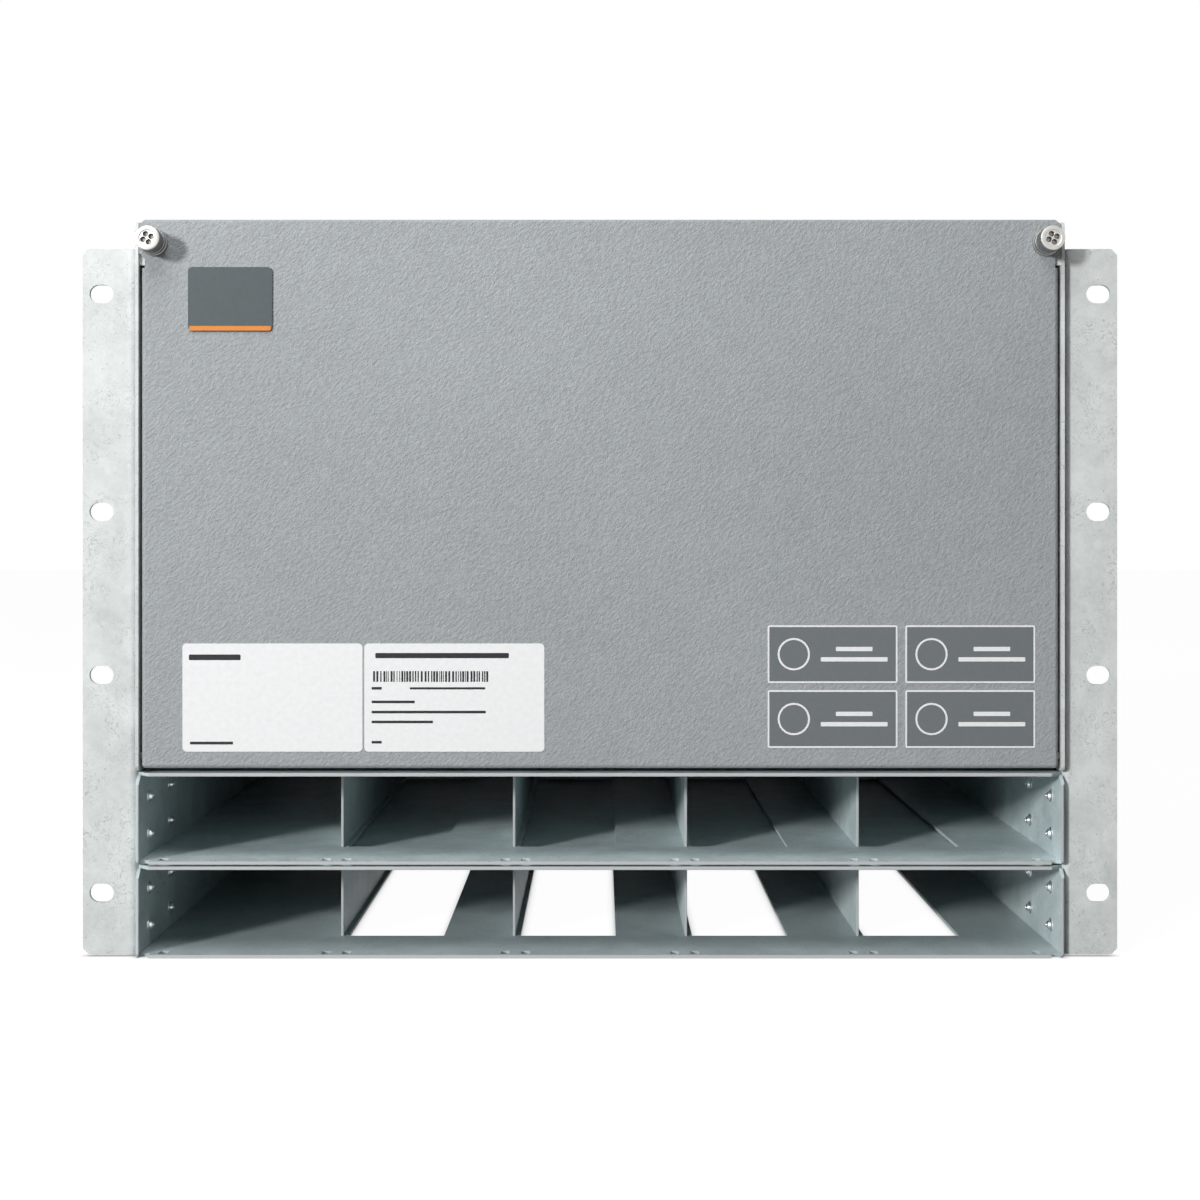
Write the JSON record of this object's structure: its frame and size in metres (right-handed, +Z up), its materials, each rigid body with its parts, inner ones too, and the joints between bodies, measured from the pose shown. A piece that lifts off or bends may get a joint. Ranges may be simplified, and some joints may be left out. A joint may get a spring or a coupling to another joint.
{
  "type": "rack power shelf",
  "caption": "Rack power shelf: open module cages under a distribution box with a hinged cover, thumbscrews, breakers, busbars and slotted rack ears.",
  "frame": {"origin": "centre of the whole shelf's footprint, at the level of its base", "axes": "+X across the rack to the shelf's own right as seen from the front, +Y from the front to the rear, +Z up"},
  "size_m": [0.4826, 0.397, 0.343],
  "materials": {
    "galvanised_steel": "galvanised sheet, light spangle",
    "cage_steel": "zinc-coated sheet, satin",
    "cover_paint": "grey powder coat with a fine leather grain",
    "nickel": "satin nickel plate",
    "rivet_steel": "bright drawn steel",
    "copper": "bare copper bar",
    "breaker_plastic": "moulded light grey",
    "toggle_plastic": "moulded black",
    "dark_plastic": "moulded dark grey",
    "insulator_resin": "moulded red resin",
    "circuit_board": "solder-masked laminate",
    "badge_face": "printed dark grey",
    "label_stock": "white coated sheet",
    "notice_face": "printed dark grey"
  },
  "bodies": {
    "frame": {"lower_cage_tray": "cage_steel", "lower_cage_roof": "cage_steel", "lower_backplane": "circuit_board", "lower_divider_1": "cage_steel", "lower_divider_2": "cage_steel", "lower_divider_3": "cage_steel", "lower_divider_4": "cage_steel", "upper_cage_tray": "cage_steel", "upper_cage_roof": "cage_steel", "upper_backplane": "circuit_board", "upper_divider_1": "cage_steel", "upper_divider_2": "cage_steel", "upper_divider_3": "cage_steel", "upper_divider_4": "cage_steel", "rack_ear_left": "galvanised_steel", "frame_rivets_left": "rivet_steel", "rack_ear_right": "galvanised_steel", "frame_rivets_right": "rivet_steel", "backplane_sockets": "dark_plastic", "enclosure_shell": "galvanised_steel", "top_panel": "galvanised_steel", "rear_panel": "galvanised_steel", "mounting_plate": "galvanised_steel", "din_rail_upper": "galvanised_steel", "din_rail_lower": "galvanised_steel", "load_breaker_cases": "breaker_plastic", "battery_breaker_cases": "breaker_plastic", "ac_breaker_cases": "breaker_plastic", "feed_busbar": "copper", "return_busbar": "copper", "busbar_insulators": "insulator_resin", "busbar_bolts": "rivet_steel", "surge_protector_base": "breaker_plastic", "surge_cartridges": "dark_plastic", "ac_terminal_block": "breaker_plastic", "signal_board": "circuit_board", "signal_board_standoffs": "nickel", "hinge_pins": "nickel", "clinch_nuts": "nickel", "earth_stud": "nickel"},
    "cover": {"front_cover": "cover_paint", "ferrules": "nickel", "badge_plate": "badge_face", "rating_labels": "label_stock", "notice_plates": "notice_face"},
    "thumbscrew_left": {"thumbscrew_left": "nickel"},
    "thumbscrew_right": {"thumbscrew_right": "nickel"},
    "load_toggle_1": {"load_toggle_1": "toggle_plastic"},
    "load_toggle_2": {"load_toggle_2": "toggle_plastic"},
    "load_toggle_3": {"load_toggle_3": "toggle_plastic"},
    "load_toggle_4": {"load_toggle_4": "toggle_plastic"},
    "load_toggle_5": {"load_toggle_5": "toggle_plastic"},
    "load_toggle_6": {"load_toggle_6": "toggle_plastic"},
    "battery_toggle_1": {"battery_toggle_1": "toggle_plastic"},
    "battery_toggle_2": {"battery_toggle_2": "toggle_plastic"},
    "ac_toggle_1": {"ac_toggle_1": "toggle_plastic"},
    "ac_toggle_2": {"ac_toggle_2": "toggle_plastic"}
  },
  "joints": [
    {"name": "cover_hinge", "type": "hinge", "parent": "frame", "child": "cover", "pos_m": [0, -0.18, 0.0935], "axis": [1, 0, 0], "range_deg": [0, 90]},
    {"name": "thumbscrew_left_pull", "type": "slide", "parent": "cover", "child": "thumbscrew_left", "axis": [0, -1, 0], "range_m": [0, 0.006]},
    {"name": "thumbscrew_right_pull", "type": "slide", "parent": "cover", "child": "thumbscrew_right", "axis": [0, -1, 0], "range_m": [0, 0.006]},
    {"name": "load_toggle_1_tilt", "type": "hinge", "parent": "frame", "child": "load_toggle_1", "pos_m": [-0.181, -0.146, 0.283], "axis": [-1, 0, 0], "range_deg": [0, 55]},
    {"name": "load_toggle_2_tilt", "type": "hinge", "parent": "frame", "child": "load_toggle_2", "pos_m": [-0.1626, -0.146, 0.283], "axis": [-1, 0, 0], "range_deg": [0, 55]},
    {"name": "load_toggle_3_tilt", "type": "hinge", "parent": "frame", "child": "load_toggle_3", "pos_m": [-0.1442, -0.146, 0.283], "axis": [-1, 0, 0], "range_deg": [0, 55]},
    {"name": "load_toggle_4_tilt", "type": "hinge", "parent": "frame", "child": "load_toggle_4", "pos_m": [-0.1258, -0.146, 0.283], "axis": [-1, 0, 0], "range_deg": [0, 55]},
    {"name": "load_toggle_5_tilt", "type": "hinge", "parent": "frame", "child": "load_toggle_5", "pos_m": [-0.1074, -0.146, 0.283], "axis": [-1, 0, 0], "range_deg": [0, 55]},
    {"name": "load_toggle_6_tilt", "type": "hinge", "parent": "frame", "child": "load_toggle_6", "pos_m": [-0.089, -0.146, 0.283], "axis": [-1, 0, 0], "range_deg": [0, 55]},
    {"name": "battery_toggle_1_tilt", "type": "hinge", "parent": "frame", "child": "battery_toggle_1", "pos_m": [-0.0585, -0.146, 0.283], "axis": [-1, 0, 0], "range_deg": [0, 55]},
    {"name": "battery_toggle_2_tilt", "type": "hinge", "parent": "frame", "child": "battery_toggle_2", "pos_m": [-0.0311, -0.146, 0.283], "axis": [-1, 0, 0], "range_deg": [0, 55]},
    {"name": "ac_toggle_1_tilt", "type": "hinge", "parent": "frame", "child": "ac_toggle_1", "pos_m": [0.037, -0.146, 0.165], "axis": [-1, 0, 0], "range_deg": [0, 55]},
    {"name": "ac_toggle_2_tilt", "type": "hinge", "parent": "frame", "child": "ac_toggle_2", "pos_m": [0.0914, -0.146, 0.165], "axis": [-1, 0, 0], "range_deg": [0, 55]}
  ]
}
